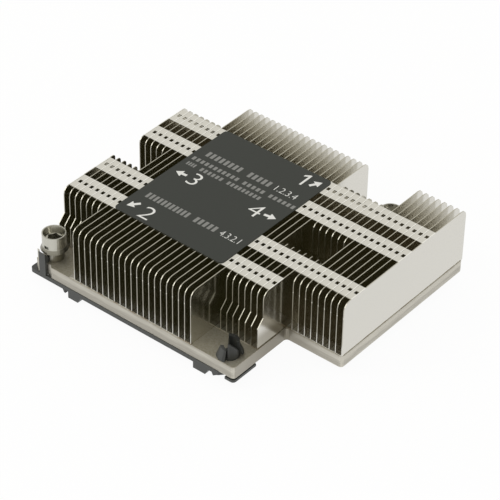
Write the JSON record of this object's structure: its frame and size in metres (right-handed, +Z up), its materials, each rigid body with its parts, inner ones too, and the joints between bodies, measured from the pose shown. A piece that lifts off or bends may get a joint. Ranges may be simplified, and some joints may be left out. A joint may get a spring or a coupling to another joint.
{
  "type": "passive server CPU heatsink",
  "caption": "Low passive heatsink for a rack server's processor: folded fins on a stepped plate, corner and side nuts, and a black processor clip underneath.",
  "frame": {"origin": "centre of the contact land on the underside, where the processor's lid meets it", "axes": "+X across the fins, towards the plate's extension; +Y along the air flow, to the end where the extension lines up with the plate; +Z up, away from the processor"},
  "size_m": [0.1104, 0.0924, 0.0299],
  "materials": {
    "plate_metal": "satin",
    "fin_metal": "bright",
    "nut_steel": "satin",
    "ring_steel": "satin",
    "label_film": "matt",
    "clip_plastic": "matt"
  },
  "bodies": {
    "heatsink": {"base_plate": "plate_metal", "fin_01": "fin_metal", "fin_02": "fin_metal", "fin_03": "fin_metal", "fin_04": "fin_metal", "fin_05": "fin_metal", "fin_06": "fin_metal", "fin_07": "fin_metal", "fin_08": "fin_metal", "fin_09": "fin_metal", "fin_10": "fin_metal", "fin_11": "fin_metal", "fin_12": "fin_metal", "fin_13": "fin_metal", "fin_14": "fin_metal", "fin_15": "fin_metal", "fin_16": "fin_metal", "fin_17": "fin_metal", "fin_18": "fin_metal", "fin_19": "fin_metal", "fin_20": "fin_metal", "fin_21": "fin_metal", "fin_22": "fin_metal", "fin_23": "fin_metal", "fin_24": "fin_metal", "fin_25": "fin_metal", "fin_26": "fin_metal", "fin_27": "fin_metal", "fin_28": "fin_metal", "fin_29": "fin_metal", "fin_30": "fin_metal", "fin_31": "fin_metal", "fin_32": "fin_metal", "fin_33": "fin_metal", "fin_34": "fin_metal", "fin_35": "fin_metal", "fin_36": "fin_metal", "fin_37": "fin_metal", "fin_38": "fin_metal", "fin_39": "fin_metal", "fin_40": "fin_metal", "fin_41": "fin_metal", "fin_42": "fin_metal", "fin_43": "fin_metal", "fin_44": "fin_metal", "label": "label_film", "processor_clip": "clip_plastic"},
    "nut_1": {"nut_1": "nut_steel", "nut_ring_1": "ring_steel"},
    "nut_2": {"nut_2": "nut_steel", "nut_ring_2": "ring_steel"},
    "nut_3": {"nut_3": "nut_steel", "nut_ring_3": "ring_steel"},
    "nut_4": {"nut_4": "nut_steel", "nut_ring_4": "ring_steel"}
  },
  "joints": [
    {"name": "nut_1_turn", "type": "hinge", "parent": "heatsink", "child": "nut_1", "pos_m": [0.03865, 0.04086, -0.0012], "axis": [0, 0, 1], "continuous": true},
    {"name": "nut_2_turn", "type": "hinge", "parent": "heatsink", "child": "nut_2", "pos_m": [-0.03865, -0.04086, -0.0012], "axis": [0, 0, 1], "continuous": true},
    {"name": "nut_3_turn", "type": "hinge", "parent": "heatsink", "child": "nut_3", "pos_m": [-0.03865, -0.0005, -0.0012], "axis": [0, 0, 1], "continuous": true},
    {"name": "nut_4_turn", "type": "hinge", "parent": "heatsink", "child": "nut_4", "pos_m": [0.03865, -0.0005, -0.0012], "axis": [0, 0, 1], "continuous": true}
  ]
}
